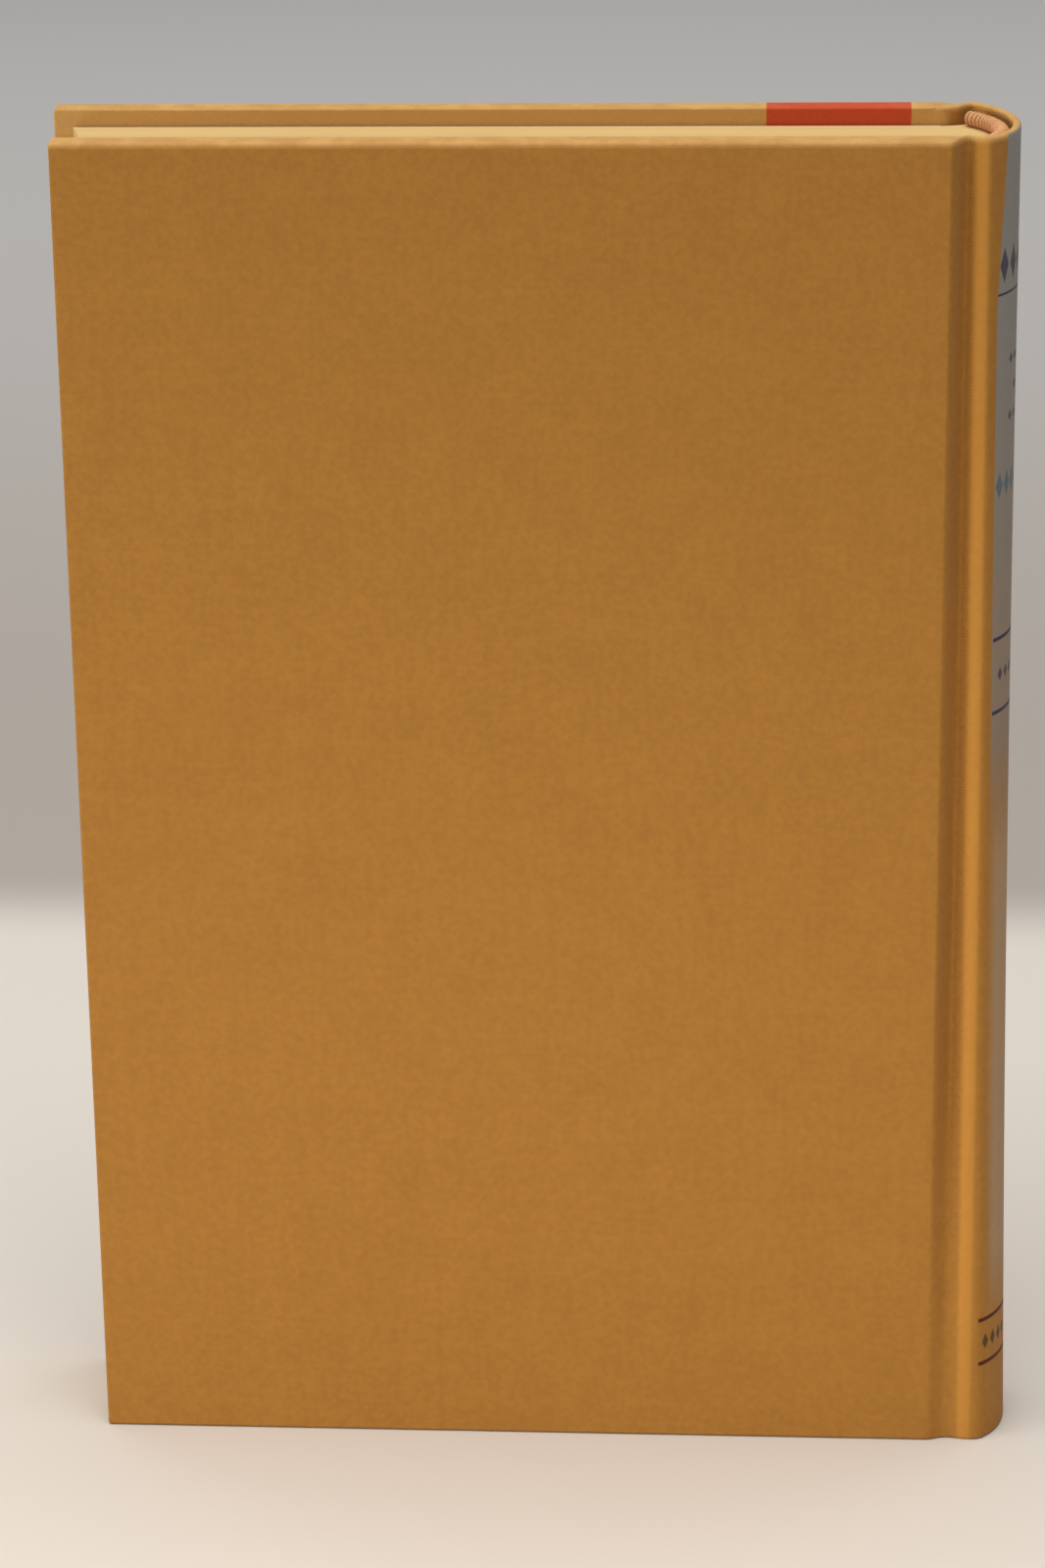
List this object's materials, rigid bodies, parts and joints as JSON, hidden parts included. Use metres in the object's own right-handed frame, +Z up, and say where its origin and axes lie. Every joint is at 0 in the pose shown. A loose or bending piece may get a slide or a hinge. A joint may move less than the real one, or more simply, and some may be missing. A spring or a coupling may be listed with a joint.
{
  "type": "hardback book",
  "caption": "Cloth-covered hardback book with rounded spine, joint grooves and covers that open on their hinges.",
  "frame": {"origin": "on the ground that the standing book rests on, in the middle of its box", "axes": "+Z up from tail to head, +X from the fore-edge to the spine, +Y from the back cover to the front cover"},
  "size_m": [0.165, 0.026, 0.241],
  "materials": {
    "cloth": "mustard woven book cloth",
    "board": "grey board",
    "pages": "uncoated cream paper",
    "endpaper": "uncoated cream endpaper",
    "mull": "open cotton",
    "lining": "brown lining paper",
    "band": "ribbed peach cotton"
  },
  "bodies": {
    "book": {"text_block": "pages", "back_flyleaf": "endpaper", "front_flyleaf": "endpaper", "mull": "mull", "spine_lining": "lining", "head_band": "band", "tail_band": "band", "spine_inlay": "board", "spine_cloth": "cloth"},
    "back_cover": {"back_board": "board", "back_cover_cloth": "cloth", "back_pastedown": "endpaper"},
    "front_cover": {"front_board": "board", "front_cover_cloth": "cloth", "front_pastedown": "endpaper"}
  },
  "joints": [
    {"name": "back_cover_hinge", "type": "hinge", "parent": "book", "child": "back_cover", "pos_m": [0.07005, -0.013, 0.1205], "axis": [0, 0, 1], "range_deg": [0, 180]},
    {"name": "front_cover_hinge", "type": "hinge", "parent": "book", "child": "front_cover", "pos_m": [0.06805, 0.013, 0.1205], "axis": [0, 0, -1], "range_deg": [0, 180]}
  ]
}
